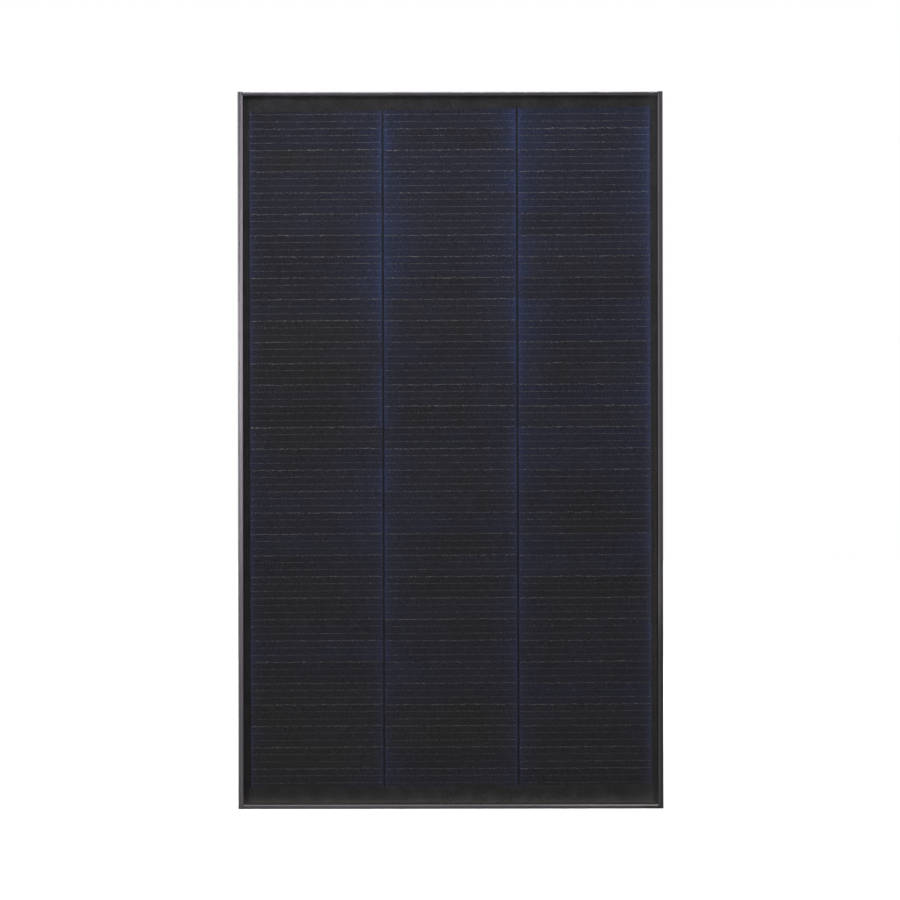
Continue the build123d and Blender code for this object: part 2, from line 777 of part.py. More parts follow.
# ---- cable glands ----
def make_gland_body(x):
    """A hollow gland body: thread through the wall, hexagonal flange and seal barrel."""
    centre = (x, -gland_depth)
    flange_z = box_bottom_z - gland_flange_height
    barrel_z = flange_z - gland_barrel_length
    thread_length = box_wall + locknut_height + gland_thread_end
    with BuildPart() as body:
        with BuildSketch(Plane.XY.offset(flange_z)):
            with Locations(centre):
                RegularPolygon(nut_across_flats / 2, 6, major_radius=False, rotation=gland_turn)
        extrude(amount=gland_flange_height)
        with BuildSketch(Plane.XY.offset(box_bottom_z)):
            with Locations(centre):
                Circle(gland_thread_radius)
        extrude(amount=thread_length)
        with BuildSketch(Plane.XY.offset(barrel_z)):
            with Locations(centre):
                Circle(gland_barrel_radius)
        extrude(amount=gland_barrel_length)
        with BuildSketch(Plane.XY.offset(barrel_z)):
            with Locations(centre):
                Circle(gland_collar_radius)
        extrude(amount=gland_barrel_length - gland_collar_stop, mode=Mode.SUBTRACT)
        with BuildSketch(Plane.XY.offset(barrel_z)):
            with Locations(centre):
                Circle(gland_passage_radius)
        body_length = gland_barrel_length + gland_flange_height + thread_length
        extrude(amount=body_length, mode=Mode.SUBTRACT)
    return body.part


def make_gland_seal(x):
    """The rubber sleeve that grips the cable."""
    low_z = box_bottom_z - gland_flange_height - gland_barrel_length - seal_standout
    with BuildPart() as seal:
        with BuildSketch(Plane.XY.offset(low_z)):
            with Locations((x, -gland_depth)):
                Circle(gland_collar_radius - slip)
                Circle(cable_radius, mode=Mode.SUBTRACT)
        extrude(amount=gland_barrel_length + seal_standout - seal_end_gap)
    return seal.part


def make_gland_nut(x):
    """The domed cap nut that squeezes the seal."""
    centre = (x, -gland_depth)
    high_z = box_bottom_z - gland_flange_height - nut_gap
    low_z = high_z - nut_length
    with BuildPart() as nut:
        with BuildSketch(Plane.XY.offset(low_z)):
            with Locations(centre):
                RegularPolygon(nut_across_flats / 2, 6, major_radius=False, rotation=gland_turn)
        extrude(amount=nut_length)
        with BuildSketch(Plane.XY.offset(low_z + nut_end_wall)):
            with Locations(centre):
                Circle(gland_barrel_radius + easy_slip)
        extrude(amount=nut_length - nut_end_wall, mode=Mode.SUBTRACT)
        with BuildSketch(Plane.XY.offset(low_z)):
            with Locations(centre):
                Circle(gland_passage_radius)
        extrude(amount=nut_end_wall, mode=Mode.SUBTRACT)
        chamfer(nut.faces().sort_by(Axis.Z)[0].edges().filter_by(GeomType.LINE), nut_chamfer)
    return nut.part


def make_locknut(x):
    """The thin nut that holds the gland on the inside of the wall."""
    with BuildPart() as locknut:
        with BuildSketch(Plane.XY.offset(box_bottom_z + box_wall)):
            with Locations((x, -gland_depth)):
                RegularPolygon(locknut_across_flats / 2, 6, major_radius=False, rotation=gland_turn)
                Circle(gland_thread_radius + slip, mode=Mode.SUBTRACT)
        extrude(amount=locknut_height)
    return locknut.part


for side_name, x in (("left", -gland_x), ("right", gland_x)):
    save(make_gland_body(x), f"gland_body_{side_name}")
    save(make_gland_seal(x), f"gland_seal_{side_name}")
    save(make_gland_nut(x), f"gland_nut_{side_name}")
    save(make_locknut(x), f"gland_locknut_{side_name}")
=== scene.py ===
import math
import random
import bpy
import bmesh
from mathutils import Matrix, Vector


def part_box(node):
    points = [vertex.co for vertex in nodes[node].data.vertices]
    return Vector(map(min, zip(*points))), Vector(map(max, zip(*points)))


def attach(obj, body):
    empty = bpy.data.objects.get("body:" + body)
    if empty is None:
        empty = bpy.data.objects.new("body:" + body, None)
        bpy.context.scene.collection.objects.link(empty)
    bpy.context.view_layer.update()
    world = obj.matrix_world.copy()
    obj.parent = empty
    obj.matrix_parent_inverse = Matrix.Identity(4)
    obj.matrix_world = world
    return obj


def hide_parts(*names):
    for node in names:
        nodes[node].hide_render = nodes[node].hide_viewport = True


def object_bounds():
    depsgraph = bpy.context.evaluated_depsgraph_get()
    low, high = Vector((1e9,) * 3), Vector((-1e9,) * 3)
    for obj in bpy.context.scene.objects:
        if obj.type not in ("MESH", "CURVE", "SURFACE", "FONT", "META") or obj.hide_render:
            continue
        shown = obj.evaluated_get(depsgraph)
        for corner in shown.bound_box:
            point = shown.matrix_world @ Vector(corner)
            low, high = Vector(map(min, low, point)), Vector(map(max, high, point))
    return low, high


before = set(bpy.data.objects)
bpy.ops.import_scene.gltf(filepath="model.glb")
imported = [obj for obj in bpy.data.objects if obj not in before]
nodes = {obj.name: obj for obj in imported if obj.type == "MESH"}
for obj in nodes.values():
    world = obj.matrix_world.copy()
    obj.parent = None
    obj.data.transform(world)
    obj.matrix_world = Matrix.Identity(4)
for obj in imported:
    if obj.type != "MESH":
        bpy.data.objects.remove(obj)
cad_low, cad_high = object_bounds()

# A framed black solar panel, upright, its glass facing -Y. Lengths are in metres; the shader code
# works in millimetres where its names end in _mm. Noise and speck scales are cells to a metre.
MM = 0.001
PANEL_BODY = "panel"

# how far the lips of the end rails and of the side rails reach in from the panel's outline
END_LIP = 4.6 * MM
SIDE_LIP = 6.0 * MM
# width of the inner part of the bottom rail's lip, where dust has settled
LEDGE = 1.6 * MM
# below this height the cells get painted fill light, and the painted light by the right rail thins
LOWER_PART = -150 * MM

# lay-up of the cells: three strings side by side, each of strips that overlap like shingles
WAFER_MM = 158.75
OVERLAP_MM = 0.84
STRING_GAP_MM = 2.5
STRIP_COUNT = 32
STRIP_TOP = 412.3 * MM
STRIP_WIDTH = WAFER_MM * MM
STRIP_PITCH = (WAFER_MM / 6 - OVERLAP_MM) * MM
STRING_PITCH = (WAFER_MM + STRING_GAP_MM) * MM
# the strings lean and the strips in them are turned, both seen from the front; each strip's lower
# edge lies deeper than its upper edge
STRING_LEAN = math.radians(0.08)
STRIP_TURN = math.radians(0.38)
STRIP_SLOPE = 0.22 * MM / STRIP_PITCH
STRING_NAMES = ("left", "middle", "right")

# printed lines, by their share of the way down a strip
PRINTED_SHARES = (0.344, 0.684)
# dashes that the lines are made of: each size but the lift is a low and a high limit
PRINTED_DASHES = {
    "length": (1.2 * MM, 4.6 * MM),
    "gap": (0.4 * MM, 1.6 * MM),
    "height": (0.14 * MM, 0.38 * MM),
    "wander": (-0.04 * MM, 0.04 * MM),
    "lift": 0.03 * MM,
}
GLUE_DASHES = {
    "length": (1.2 * MM, 3.6 * MM),
    "gap": (0.1 * MM, 1.3 * MM),
    "height": (0.20 * MM, 0.76 * MM),
    "wander": (0.05 * MM, 1.00 * MM),
    "lift": 0.05 * MM,
}
# how much lower or higher all the dashes of one line are
LINE_SHARE = (0.78, 1.22)
# how far a line stops short of the strip's ends, and how far a dash's foot is off its face
LINE_MARGIN = 1.0 * MM
DASH_FOOT = 0.003 * MM
GRID_SEED = 20

WHITE = (1.0, 1.0, 1.0)
ORIGIN = (0.0, 0.0, 0.0)


# ---- shader building ----
def colour(value):
    """The colour with its alpha, or the output if it is one."""
    return value if isinstance(value, bpy.types.NodeSocket) else (*value, 1.0)


class Shading:
    """A material or world being built: most methods add a node and return its output."""

    def __init__(self, owner, place="Object"):
        self.owner = owner
        owner.use_nodes = True
        self.tree = owner.node_tree
        self.tree.nodes.clear()
        self.place = self.node("ShaderNodeTexCoord").outputs[place]

    def node(self, kind, **settings):
        made = self.tree.nodes.new(kind)
        for key, value in settings.items():
            setattr(made, key, value)
        return made

    def put(self, value, socket):
        """Link value to the socket if it is an output, or set it as the socket's own number."""
        if isinstance(value, bpy.types.NodeSocket):
            self.tree.links.new(value, socket)
        else:
            socket.default_value = value

    def fill(self, made, *values):
        """Put the values into the node's first sockets, and return its first output."""
        for value, socket in zip(values, made.inputs):
            self.put(value, socket)
        return made.outputs[0]

    def math(self, operation, a, b=0.0, c=0.0, clamp=False):
        return self.fill(self.node("ShaderNodeMath", operation=operation, use_clamp=clamp), a, b, c)

    def product(self, first, *others):
        for other in others:
            first = self.math("MULTIPLY", first, other)
        return first

    def ramp(self, value, low, high, start=0.0, end=1.0, smooth=True):
        """start where value is low, end where it is high, and a smooth change between."""
        made = self.node("ShaderNodeMapRange")
        made.interpolation_type = "SMOOTHSTEP" if smooth else "LINEAR"
        limits = {"From Min": low, "From Max": high, "To Min": start, "To Max": end}
        for name, number in limits.items():
            made.inputs[name].default_value = number
        self.put(value, made.inputs["Value"])
        return made.outputs["Result"]

    def fading(self, distance, reach):
        """1 at distance 0, falling off exponentially over reach."""
        return self.math("EXPONENT", self.math("MULTIPLY", distance, -1 / reach))

    def stretch(self, scale, rotation=(0, 0, 0)):
        """The place, turned and multiplied by scale along each axis."""
        made = self.node("ShaderNodeMapping")
        made.inputs["Scale"].default_value = scale
        made.inputs["Rotation"].default_value = rotation
        self.put(self.place, made.inputs["Vector"])
        return made.outputs["Vector"]

    def split(self, vector):
        made = self.node("ShaderNodeSeparateXYZ")
        self.put(vector, made.inputs[0])
        return made.outputs

    def join(self, x, y, z):
        return self.fill(self.node("ShaderNodeCombineXYZ"), x, y, z)

    def noise(self, place, detail=3.0, roughness=0.55, scale=1.0):
        made = self.node("ShaderNodeTexNoise")
        self.put(place, made.inputs["Vector"])
        made.inputs["Scale"].default_value = scale
        made.inputs["Detail"].default_value = detail
        made.inputs["Roughness"].default_value = roughness
        return made.outputs["Fac"]

    def even_noise(self, scale, detail=3.0, roughness=0.55):
        """Noise that is alike along each axis."""
        return self.noise(self.stretch((scale, scale, scale)), detail, roughness)

    def specks(self, scale, size, share):
        """Up to 1 on small round spots, size of a cell in radius, in this share of the cells."""
        made = self.node("ShaderNodeTexVoronoi")
        self.put(self.place, made.inputs["Vector"])
        made.inputs["Scale"].default_value = scale
        spot = self.ramp(made.outputs["Distance"], size, size * 0.4)
        lot, strength, _ = self.split(made.outputs["Color"])
        chosen = self.product(self.math("LESS_THAN", lot, share), strength)
        return self.product(spot, chosen)

    def random(self, x, y, seed):
        made = self.node("ShaderNodeTexWhiteNoise")
        self.put(self.join(x, y, seed), made.inputs["Vector"])
        return made.outputs["Value"]

    def blend(self, share, a, b):
        """Colour a where share is 0 and colour b where it is 1."""
        made = self.node("ShaderNodeMix", data_type="RGBA")
        self.put(share, made.inputs["Factor"])
        self.put(colour(a), made.inputs["A"])
        self.put(colour(b), made.inputs["B"])
        return made.outputs["Result"]

    def scaled(self, tone, factor):
        """The colour, made lighter or darker by the factor."""
        made = self.node("ShaderNodeVectorMath", operation="SCALE")
        self.put(tone, made.inputs[0])
        self.put(factor, made.inputs["Scale"])
        return made.outputs[0]

    def bump(self, height, distance, strength, under=None):
        made = self.node("ShaderNodeBump")
        made.inputs["Distance"].default_value = distance
        made.inputs["Strength"].default_value = strength
        self.put(height, made.inputs["Height"])
        if under:
            self.put(under, made.inputs["Normal"])
        return made.outputs["Normal"]

    def surface(self, **inputs):
        """A Principled surface; input names are given with underscores for spaces."""
        made = self.node("ShaderNodeBsdfPrincipled")
        for name, value in inputs.items():
            self.put(value, made.inputs[name.replace("_", " ")])
        return made.outputs[0]

    def mix_surfaces(self, share, a, b):
        return self.fill(self.node("ShaderNodeMixShader"), share, a, b)

    def finish(self, surface, output="ShaderNodeOutputMaterial"):
        self.put(surface, self.node(output).inputs["Surface"])
        return self.owner


def new_shading(material_name):
    return Shading(bpy.data.materials.new(material_name))


# ---- materials ----
def anodised_rail(name, along, ledge_dust=False):
    """Black anodised extrusion, drawn along this axis, with painted shade making the lower right
    rail and the rails' foot darker. Dust is for the end rails only, and lies on the bottom one's
    ledge."""
    dark_anodising, light_anodising = (0.076, 0.069, 0.078), (0.106, 0.097, 0.108)
    pale_line, dark_line = (0.19, 0.18, 0.19), (0.040, 0.038, 0.041)
    grit_grey, shade_grey = (0.34, 0.33, 0.32), (0.038, 0.037, 0.036)
    dusty_grey = (0.116, 0.116, 0.111)
    s = new_shading(name)
    fine = s.noise(s.stretch([140 if axis == along else 9000 for axis in range(3)]))
    lines = s.noise(s.stretch([5 if axis == along else 1300 for axis in range(3)]), 2.0)
    grit = s.specks(260, 0.10, 0.25)
    tone = s.blend(s.even_noise(22), dark_anodising, light_anodising)
    tone = s.blend(s.ramp(lines, 0.4, 0.75, 0.0, 0.45), tone, pale_line)
    tone = s.blend(s.ramp(lines, 0.45, 0.25, 0.0, 0.5), tone, dark_line)
    tone = s.blend(s.product(grit, 0.6), tone, grit_grey)

    x, y, z = s.split(s.place)
    # painted shade: the lower part of the right rail is darkened, and all rails a little at the
    # panel's foot
    on_right_rail = s.ramp(x, 200 * MM, 245 * MM)
    low_down = s.ramp(z, -160 * MM, -240 * MM)
    at_foot = s.ramp(z, cad_low.z + 25 * MM, cad_low.z + 5 * MM)
    painted_shade = s.math("MAXIMUM", s.product(on_right_rail, low_down), s.product(at_foot, 0.30))
    tone = s.blend(s.product(painted_shade, 0.82), tone, shade_grey)

    metal = 0.85
    if ledge_dust:
        up_ledge = s.math("SUBTRACT", z, cad_low.z + END_LIP - LEDGE)
        above_start = s.math("GREATER_THAN", up_ledge, 0.0)
        below_end = s.math("LESS_THAN", up_ledge, 1.5 * LEDGE)
        on_front = s.math("LESS_THAN", y, cad_low.y + 3 * MM)
        on_ledge = s.product(above_start, below_end, on_front)
        patchy = s.ramp(s.even_noise(420, 3.0, 0.7), 0.3, 0.7, 0.35, 1.0)
        more_to_right = s.ramp(x, 0.0, 200 * MM, 0.45, 1.0)
        settled = s.product(patchy, more_to_right, on_ledge)
        tone = s.blend(settled, tone, dusty_grey)
        metal = s.product(s.math("SUBTRACT", 1.0, settled), metal)

    rough = s.ramp(fine, 0.2, 0.8, 0.27, 0.34)
    normal = s.bump(s.math("ADD", lines, s.product(fine, 0.4)), 0.04 * MM, 0.4)
    return s.finish(s.surface(Base_Color=tone, Metallic=metal, Roughness=rough, Normal=normal))


def strip_place(s):
    """Column, row, distance from the string's middle in mm, and share of the way down the strip."""
    turned = s.stretch((1 / MM, 1 / MM, 1 / MM), (0, STRING_LEAN, 0))
    x_mm, _, z_mm = s.split(turned)
    column = s.math("ROUND", s.math("DIVIDE", x_mm, STRING_PITCH / MM))
    inside_mm = s.math("SUBTRACT", x_mm, s.product(column, STRING_PITCH / MM))
    rise_mm = s.product(inside_mm, math.tan(STRIP_TURN - STRING_LEAN))
    below_top_mm = s.math("SUBTRACT", STRIP_TOP / MM, s.math("SUBTRACT", z_mm, rise_mm))
    down = s.math("DIVIDE", below_top_mm, STRIP_PITCH / MM)
    row = s.math("FLOOR", down)
    return column, row, inside_mm, s.math("FRACT", down)


def grain_shade(s, grain):
    """How much the grain of a dull dark surface lightens or darkens it."""
    return s.ramp(grain, 0.34, 0.68, 0.62, 1.50)


def silicon_cell():
    """Dark silicon, each strip a little different, under a coating whose blue shows most at the
    strings' edges. The blue growing towards the top and the paler cells at the foot are painted
    light."""
    warm_black, cool_black = (0.0168, 0.0155, 0.0144), (0.0165, 0.0161, 0.0215)
    coating_blue, streak_violet = (0.0262, 0.0346, 0.0795), (0.018, 0.014, 0.060)
    printed_silver = (0.30, 0.29, 0.28)
    s = new_shading("silicon_cell")
    column, row, inside_mm, _ = strip_place(s)
    x, _, z = s.split(s.place)

    # blue: a sharp line at the edges, and a broad glow and soft patches that are weaker at the left
    sharp_reach_mm, broad_reach_mm = 3.4, 22.0
    edge_mm = s.math("SUBTRACT", STRIP_WIDTH / MM / 2, s.math("ABSOLUTE", inside_mm))
    sharp = s.product(s.fading(edge_mm, sharp_reach_mm), s.ramp(x, 0.0, cad_high.x, 0.76, 0.90))
    broad = s.product(s.fading(edge_mm, broad_reach_mm), 0.42)
    patches = s.ramp(s.noise(s.stretch((5, 5, 3.2)), 2.0), 0.3, 0.75, 0.08, 0.30)
    # painted light: this ramp makes all the blue stronger towards the top, as if lit from above
    height = s.ramp(z, cad_low.z, cad_high.z, 0.44, 1.0, smooth=False)
    lost_at_left = s.ramp(z, cad_low.z, cad_high.z, 0.30, 0.85, smooth=False)
    lost_at_left = s.product(lost_at_left, s.ramp(x, -100 * MM, cad_low.x))
    soft_share = s.math("SUBTRACT", height, s.product(lost_at_left, height))
    soft = s.product(s.math("ADD", broad, patches), soft_share)
    drift_place = s.join(s.product(inside_mm, 0.02), s.product(row, 3.7), column)
    drift = s.ramp(s.noise(drift_place, 2.0), 0.25, 0.75, 0.55, 1.35)
    blue = s.product(s.math("ADD", sharp, soft), drift)
    blue = s.math("MULTIPLY", blue, height, clamp=True)

    tint_seed, shade_seed = 0.5, 7.5
    tint = s.random(column, row, tint_seed)
    shade = s.ramp(s.random(column, row, shade_seed), 0.0, 1.0, 0.94, 1.08, smooth=False)
    tone = s.scaled(s.blend(tint, warm_black, cool_black), shade)
    tone = s.blend(blue, tone, coating_blue)
    streak_place = s.join(s.product(inside_mm, 0.55), s.product(row, 0.45), column)
    streak = s.ramp(s.noise(streak_place, 1.0), 0.74, 0.80, 0.0, 0.35)
    tone = s.blend(streak, tone, streak_violet)

    # printed fingers, too fine to tell apart from the front
    finger_half_pitch_mm = 0.65
    from_finger_mm = s.math("PINGPONG", inside_mm, finger_half_pitch_mm)
    finger = s.ramp(from_finger_mm, 0.05, 0.02)
    tone = s.blend(s.product(finger, 0.05), tone, printed_silver)
    grain = s.noise(s.stretch((1000, 1000, 420)), 3.0, 0.7)
    # painted fill light: the cells are made paler towards the foot
    painted_fill_at_foot = s.ramp(z, LOWER_PART, cad_low.z, 1.0, 1.07)
    tone = s.scaled(tone, s.product(painted_fill_at_foot, grain_shade(s, grain)))
    normal = s.bump(s.math("ADD", grain, finger), 0.03 * MM, 0.3)
    rough = s.ramp(grain, 0.2, 0.8, 0.5, 0.65)
    return s.finish(s.surface(Base_Color=tone, Roughness=rough, Specular_IOR_Level=0.08,
                              Normal=normal))


def silver_paste():
    """Printed silver and squeezed-out conductive glue, uneven along its length, with painted shade
    making it darker low down.
    """
    s = new_shading("silver_paste")
    wave = s.noise(s.stretch((620, 20, 500)), 3.0, 0.7)
    grain = s.even_noise(4000, 2.0)
    tone = s.blend(s.ramp(wave, 0.40, 0.64), (0.062, 0.058, 0.056), (0.225, 0.208, 0.192))
    _, _, z = s.split(s.place)
    # painted shade: darker towards the foot, lighter towards the top
    tone = s.scaled(tone, s.ramp(z, cad_low.z, cad_high.z, 0.62, 1.08, smooth=False))
    normal = s.bump(grain, 0.04 * MM, 0.5)
    return s.finish(s.surface(Base_Color=tone, Roughness=0.6, Specular_IOR_Level=0.3,
                              Normal=normal))


def pane_glass():
    """Clear solar glass, anti-reflective face on, with grit on it and dust along the end rails. The
    pale layer beside the right rail is painted light, and the one under the top rail is partly dust
    and partly painted light."""
    s = new_shading("pane_glass")
    x, _, z = s.split(s.place)
    above_rail = s.math("SUBTRACT", z, cad_low.z + END_LIP)
    below_rail = s.math("SUBTRACT", cad_high.z - END_LIP, z)
    beside_rail = s.math("SUBTRACT", cad_high.x - SIDE_LIP, x)

    # the share of the glass that dust and painted light cover: dust lies thickest against the end
    # rails, the layers beside the right rail and under the top rail are painted light in whole or
    # in part, and the thin tails are cut off
    haze = s.noise(s.stretch((9, 9, 14)), 5.0, 0.65)
    low_dust = s.product(s.fading(above_rail, 6.5 * MM), s.ramp(haze, 0.25, 0.8, 0.025, 0.038))
    # painted light beside the right rail, held back from the rail to leave a painted shadow line
    painted_right_light = s.product(
        s.fading(beside_rail, 9 * MM), 0.022,
        s.ramp(beside_rail, 0.4 * MM, 2.6 * MM),
        s.ramp(z, cad_low.z, LOWER_PART, 0.65, 1.0))
    # partly dust, partly painted light that lifts the shade under the top rail
    top_dust_and_light = s.product(s.fading(below_rail, 1.6 * MM), s.ramp(haze, 0.25, 0.8, 0.012, 0.034))
    cut_off = 0.0025
    dust_and_light = s.math("ADD", s.math("ADD", low_dust, painted_right_light), top_dust_and_light)
    dust_and_light = s.math("SUBTRACT", dust_and_light, cut_off, clamp=True)

    grit_reach = 30 * MM
    near_rails = s.math("ADD", s.fading(above_rail, grit_reach), s.fading(below_rail, grit_reach))
    crumbs = s.product(s.specks(70, 0.055, 0.3), s.math("MULTIPLY_ADD", near_rails, 0.75, 0.16))
    grains = s.product(s.specks(260, 0.13, 0.25), s.math("MULTIPLY_ADD", near_rails, 0.30, 0.14))
    # dust and grit, with the painted light beside the right rail and under the top rail
    dirt_and_light = s.math("MAXIMUM", dust_and_light, s.math("MAXIMUM", crumbs, grains))

    # the anti-reflective coating takes this share of the light out of a head-on reflection
    coating_loss = 0.018
    fresnel = s.node("ShaderNodeFresnel")
    fresnel.inputs["IOR"].default_value = 1.3
    coated = s.math("SUBTRACT", fresnel.outputs[0], coating_loss, clamp=True)
    clear = s.node("ShaderNodeBsdfTransparent")
    shine = s.node("ShaderNodeBsdfGlossy")
    shine.inputs["Roughness"].default_value = 0.10
    matt = s.node("ShaderNodeBsdfDiffuse")
    matt.inputs["Color"].default_value = colour((0.64, 0.60, 0.55))
    glass = s.mix_surfaces(coated, clear.outputs[0], shine.outputs[0])
    return s.finish(s.mix_surfaces(dirt_and_light, glass, matt.outputs[0]))


def black_film(name, tone_low, tone_high, rough, painted_top_light=0.0):
    """Black film or tape under the glass, mottled by laminating. With the last argument, its upper
    part is painted lighter by that share and the rest painted darker by a third of it, as painted
    light from above."""
    s = new_shading(name)
    _, _, z = s.split(s.place)
    mottle = s.even_noise(60, 4.0)
    grain = s.even_noise(700, 3.0, 0.7)
    tone = s.blend(s.ramp(mottle, 0.3, 0.7), tone_low, tone_high)
    tone = s.scaled(tone, grain_shade(s, grain))
    # painted light: lighter at the top and darker below
    tone = s.scaled(tone, s.ramp(z, 50 * MM, cad_high.z, 1.0 - painted_top_light / 3, 1.0 + painted_top_light))
    normal = s.bump(grain, 0.03 * MM, 0.3)
    return s.finish(s.surface(Base_Color=tone, Roughness=rough, Specular_IOR_Level=0.12,
                              Normal=normal))


def black_backsheet():
    """Black backsheet with a fine grain, through which the strips' steps and the gaps between the
    strings show as a faint relief; the steps also get a painted highlight and the gaps painted
    shade."""
    s = new_shading("black_backsheet")
    _, _, inside_mm, share = strip_place(s)
    from_middle_mm = s.math("ABSOLUTE", inside_mm)
    rib = s.product(s.ramp(share, 0.0, 0.06, 1.0, 0.0), s.ramp(from_middle_mm, 79.3, 78.0))
    gap = s.ramp(from_middle_mm, 79.0, 80.5)
    grain = s.even_noise(2200)
    cloud = s.even_noise(11, 4.0)
    grain_grey, rib_highlight_grey = (0.07, 0.07, 0.072), (0.075, 0.075, 0.078)
    gap_shade_grey = (0.022, 0.022, 0.024)
    tone = s.blend(cloud, (0.030, 0.030, 0.033), (0.048, 0.048, 0.052))
    tone = s.blend(s.product(grain, 0.3), tone, grain_grey)
    # painted highlight on the strips' steps, then painted shade in the gaps between the strings
    tone = s.blend(s.product(rib, 0.14), tone, rib_highlight_grey)
    tone = s.blend(s.product(gap, 0.35), tone, gap_shade_grey)
    relief = s.bump(s.math("SUBTRACT", s.product(rib, 0.5), gap), 0.4 * MM, 0.8)
    normal = s.bump(grain, 0.05 * MM, 0.5, relief)
    rough = s.ramp(cloud, 0.3, 0.7, 0.45, 0.6)
    return s.finish(s.surface(Base_Color=tone, Roughness=rough, Normal=normal))


def moulded_plastic(name, tone_low, tone_high, rough):
    """Spark-textured moulded plastic."""
    s = new_shading(name)
    pebble = s.even_noise(3200)
    tone = s.blend(s.even_noise(60), tone_low, tone_high)
    normal = s.bump(pebble, 0.08 * MM, 0.6)
    roughness = s.ramp(pebble, 0.2, 0.8, rough, rough + 0.15)
    return s.finish(s.surface(Base_Color=tone, Roughness=roughness, Normal=normal))


def soft_rubber(name):
    """Matt black silicone or rubber with a slightly dusty bloom."""
    s = new_shading(name)
    tone = s.blend(s.even_noise(240, 4.0), (0.018, 0.018, 0.018), (0.042, 0.041, 0.040))
    normal = s.bump(s.even_noise(1800), 0.06 * MM, 0.5)
    return s.finish(s.surface(Base_Color=tone, Roughness=0.72, Normal=normal))


def bare_metal(name, tone_low, tone_high, rough):
    """Bare rolled or turned metal with fine scratches and a patchy tarnish."""
    s = new_shading(name)
    patch = s.even_noise(300, 4.0)
    scratch = s.noise(s.stretch((900, 7000, 7000)), 2.0)
    tone = s.blend(patch, tone_low, tone_high)
    normal = s.bump(scratch, 0.03 * MM, 0.5)
    roughness = s.ramp(patch, 0.3, 0.7, rough, rough + 0.14)
    return s.finish(s.surface(Base_Color=tone, Metallic=1.0, Roughness=roughness, Normal=normal))


def label_film():
    """Blank silver polyester label with a printed border and empty ruled lines."""
    s = new_shading("label_film")
    low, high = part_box("rating_label")
    middle = (low + high) / 2
    border_inset_mm, line_width_mm, line_gap_mm = 3.0, 0.5, 8.0
    half_height_mm = (high.z - low.z) / 2 / MM
    border_x_mm = (high.x - low.x) / 2 / MM - border_inset_mm
    border_z_mm = half_height_mm - border_inset_mm
    x_mm, _, z_mm = s.split(s.stretch((1 / MM, 1 / MM, 1 / MM)))
    across_mm = s.math("ABSOLUTE", s.math("SUBTRACT", x_mm, middle.x / MM))
    rise_mm = s.math("SUBTRACT", z_mm, middle.z / MM)
    up_mm = s.math("ABSOLUTE", rise_mm)
    side_gap_mm = s.math("ABSOLUTE", s.math("SUBTRACT", border_x_mm, across_mm))
    end_gap_mm = s.math("ABSOLUTE", s.math("SUBTRACT", border_z_mm, up_mm))
    border = s.math("LESS_THAN", s.math("MINIMUM", side_gap_mm, end_gap_mm), line_width_mm / 2)
    from_line_mm = s.math("PINGPONG", s.math("ADD", rise_mm, half_height_mm), line_gap_mm / 2)
    ruled = s.math("LESS_THAN", from_line_mm, line_width_mm / 4)
    within_sides = s.math("LESS_THAN", across_mm, border_x_mm + line_width_mm)
    within_ends = s.math("LESS_THAN", up_mm, border_z_mm + line_width_mm)
    ink = s.product(s.math("MAXIMUM", border, ruled), within_sides, within_ends)
    grain = s.even_noise(1800, 2.0)
    tone = s.blend(grain, (0.52, 0.53, 0.54), (0.62, 0.63, 0.64))
    tone = s.blend(ink, tone, (0.05, 0.05, 0.05))
    normal = s.bump(grain, 0.03 * MM, 0.3)
    return s.finish(s.surface(Base_Color=tone, Metallic=0.3, Roughness=0.42, Normal=normal))


def pale_floor():
    """A pale floor that bounces less light at the panel than it shows, as if flagged off."""
    s = new_shading("pale_floor")
    cloud = s.noise(s.place, 4.0, scale=3.0)
    seen = s.node("ShaderNodeLightPath").outputs["Is Camera Ray"]
    tone = s.blend(cloud, (0.86, 0.86, 0.86), (0.90, 0.90, 0.90))
    tone = s.blend(seen, (0.28, 0.28, 0.28), tone)
    return s.finish(s.surface(Base_Color=tone, Roughness=0.85, Specular_IOR_Level=0.1))


def paint(material, *names):
    """Give each of these CAD nodes this material alone."""
    for name in names:
        mesh = nodes[name].data
        mesh.materials.clear()
        mesh.materials.append(material)


plastic = moulded_plastic("box_plastic", (0.018, 0.018, 0.019), (0.030, 0.030, 0.031), 0.42)
steel = bare_metal("stainless_steel", (0.42, 0.42, 0.43), (0.56, 0.56, 0.56), 0.26)
tinned = bare_metal("tinned_copper", (0.55, 0.54, 0.52), (0.68, 0.67, 0.64), 0.3)
brass = bare_metal("brass", (0.60, 0.47, 0.22), (0.72, 0.58, 0.30), 0.25)
rubber = soft_rubber("black_rubber")
film = black_film("black_film", (0.0070, 0.0067, 0.0068), (0.0118, 0.0113, 0.0114), 0.5, 0.35)
tape = black_film("black_tape", (0.0160, 0.0155, 0.0160), (0.0250, 0.0240, 0.0250), 0.55)

